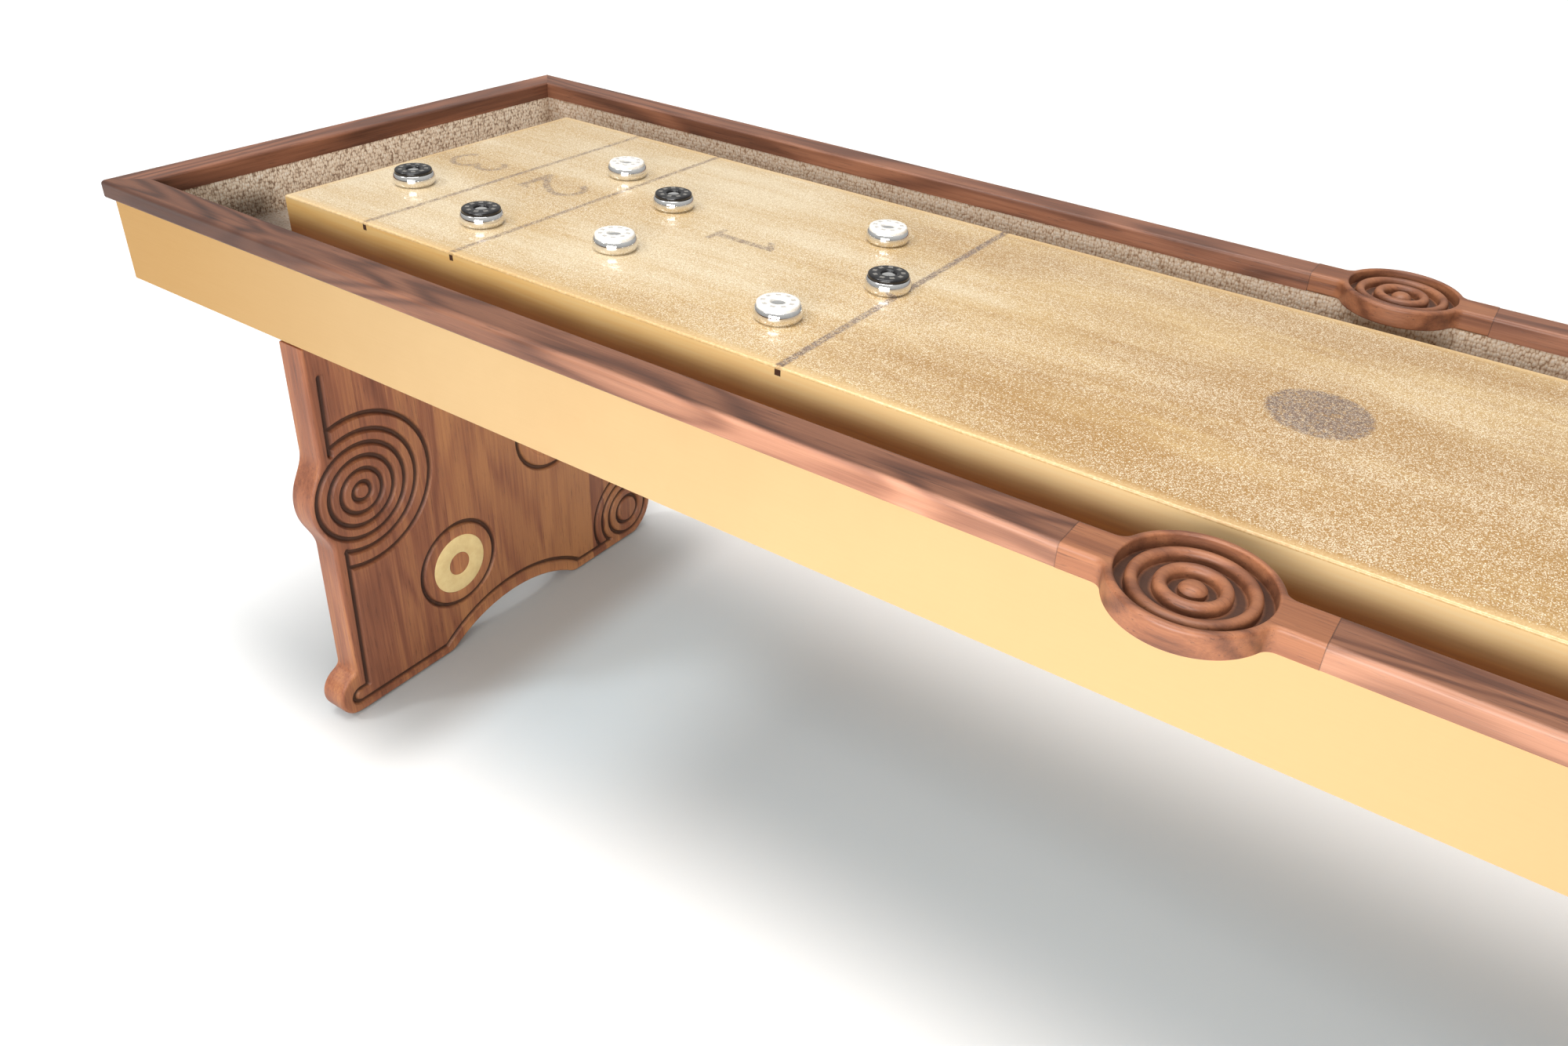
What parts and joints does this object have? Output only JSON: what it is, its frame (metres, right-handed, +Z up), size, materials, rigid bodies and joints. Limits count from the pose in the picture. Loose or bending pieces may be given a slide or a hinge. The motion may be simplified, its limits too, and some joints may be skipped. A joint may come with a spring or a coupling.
{
  "type": "shuffleboard table",
  "caption": "Long shuffleboard table with walnut rails and rosettes, brass apron, fabric-lined gutters, a waxed maple playfield, carved slab legs and sliding pucks.",
  "frame": {"origin": "on the floor, under the middle of the table", "axes": "+X along the table, away from the end that holds the pucks; +Y across it, towards the far side in the picture; +Z up"},
  "size_m": [2.84, 0.8726, 0.8158],
  "materials": {
    "walnut": "oiled walnut, satin",
    "brass": "brushed satin brass",
    "plywood": "birch plywood, unfinished",
    "maple": "laminated maple, clear finished",
    "clear_coat": "clear poured polymer with gold shuffleboard wax scattered on it",
    "inlay": "dark walnut inlay",
    "gutter_fabric": "flecked beige loop fabric on a lining board",
    "steel": "zinc plated steel",
    "black_steel": "black powder coated steel",
    "chrome": "polished chrome",
    "cap_black": "gloss black moulded cap",
    "cap_white": "pearl white moulded cap"
  },
  "bodies": {
    "table": {"rail_front_left": "walnut", "rail_front_right": "walnut", "rosette_front": "walnut", "apron_brass_front": "brass", "wall_core_front": "plywood", "liner_front": "gutter_fabric", "gutter_front": "gutter_fabric", "rail_back_left": "walnut", "rail_back_right": "walnut", "rosette_back": "walnut", "apron_brass_back": "brass", "wall_core_back": "plywood", "liner_back": "gutter_fabric", "gutter_back": "gutter_fabric", "rail_end_left": "walnut", "apron_brass_left": "brass", "wall_core_left": "plywood", "liner_left": "gutter_fabric", "gutter_left": "gutter_fabric", "leg_left": "walnut", "rail_end_right": "walnut", "apron_brass_right": "brass", "wall_core_right": "plywood", "liner_right": "gutter_fabric", "gutter_right": "gutter_fabric", "leg_right": "walnut", "cabinet_floor": "plywood", "cross_bearers": "plywood", "playfield_slips": "plywood", "playfield_slab": "maple", "playfield_inlays": "inlay", "playfield_coat": "clear_coat", "leg_ring_inlays": "brass", "leg_plates": "black_steel", "leg_cleats": "walnut", "leg_fasteners": "steel", "adjuster_brackets": "black_steel"},
    "puck_black_1": {"puck_black_1_body": "chrome", "puck_black_1_cap": "cap_black"},
    "puck_black_2": {"puck_black_2_body": "chrome", "puck_black_2_cap": "cap_black"},
    "puck_white_1": {"puck_white_1_body": "chrome", "puck_white_1_cap": "cap_white"},
    "puck_white_2": {"puck_white_2_body": "chrome", "puck_white_2_cap": "cap_white"},
    "puck_black_3": {"puck_black_3_body": "chrome", "puck_black_3_cap": "cap_black"},
    "puck_black_4": {"puck_black_4_body": "chrome", "puck_black_4_cap": "cap_black"},
    "puck_white_3": {"puck_white_3_body": "chrome", "puck_white_3_cap": "cap_white"},
    "puck_white_4": {"puck_white_4_body": "chrome", "puck_white_4_cap": "cap_white"},
    "leveller_1": {"leveller_1": "steel"},
    "leveller_2": {"leveller_2": "steel"},
    "leveller_3": {"leveller_3": "steel"},
    "leveller_4": {"leveller_4": "steel"},
    "adjuster_barrel_1": {"adjuster_barrel_1": "steel"},
    "adjuster_barrel_2": {"adjuster_barrel_2": "steel"},
    "adjuster_barrel_3": {"adjuster_barrel_3": "steel"}
  },
  "joints": [
    {"name": "puck_black_1_slide", "type": "slide", "parent": "table", "child": "puck_black_1", "axis": [1, 0, 0], "range_m": [-0.05, 0.055]},
    {"name": "puck_black_2_slide", "type": "slide", "parent": "table", "child": "puck_black_2", "axis": [1, 0, 0], "range_m": [-0.055, 0.06]},
    {"name": "puck_white_1_slide", "type": "slide", "parent": "table", "child": "puck_white_1", "axis": [1, 0, 0], "range_m": [-0.06, 0.1]},
    {"name": "puck_white_2_slide", "type": "slide", "parent": "table", "child": "puck_white_2", "axis": [1, 0, 0], "range_m": [-0.1, 1.7]},
    {"name": "puck_black_3_slide", "type": "slide", "parent": "table", "child": "puck_black_3", "axis": [1, 0, 0], "range_m": [-0.15, 1.68]},
    {"name": "puck_black_4_slide", "type": "slide", "parent": "table", "child": "puck_black_4", "axis": [1, 0, 0], "range_m": [-0.36, 0.15]},
    {"name": "puck_white_3_slide", "type": "slide", "parent": "table", "child": "puck_white_3", "axis": [1, 0, 0], "range_m": [-0.235, 0.17]},
    {"name": "puck_white_4_slide", "type": "slide", "parent": "table", "child": "puck_white_4", "axis": [1, 0, 0], "range_m": [-0.17, 1.75]},
    {"name": "leveller_1_extend", "type": "slide", "parent": "table", "child": "leveller_1", "axis": [0, 0, -1], "range_m": [0, 0.012]},
    {"name": "leveller_2_extend", "type": "slide", "parent": "table", "child": "leveller_2", "axis": [0, 0, -1], "range_m": [0, 0.012]},
    {"name": "leveller_3_extend", "type": "slide", "parent": "table", "child": "leveller_3", "axis": [0, 0, -1], "range_m": [0, 0.012]},
    {"name": "leveller_4_extend", "type": "slide", "parent": "table", "child": "leveller_4", "axis": [0, 0, -1], "range_m": [0, 0.012]},
    {"name": "adjuster_1_turn", "type": "hinge", "parent": "table", "child": "adjuster_barrel_1", "pos_m": [-0.62, 0, 0.7135], "axis": [0, 1, 0], "continuous": true},
    {"name": "adjuster_2_turn", "type": "hinge", "parent": "table", "child": "adjuster_barrel_2", "pos_m": [0, 0, 0.7135], "axis": [0, 1, 0], "continuous": true},
    {"name": "adjuster_3_turn", "type": "hinge", "parent": "table", "child": "adjuster_barrel_3", "pos_m": [0.62, 0, 0.7135], "axis": [0, 1, 0], "continuous": true}
  ]
}
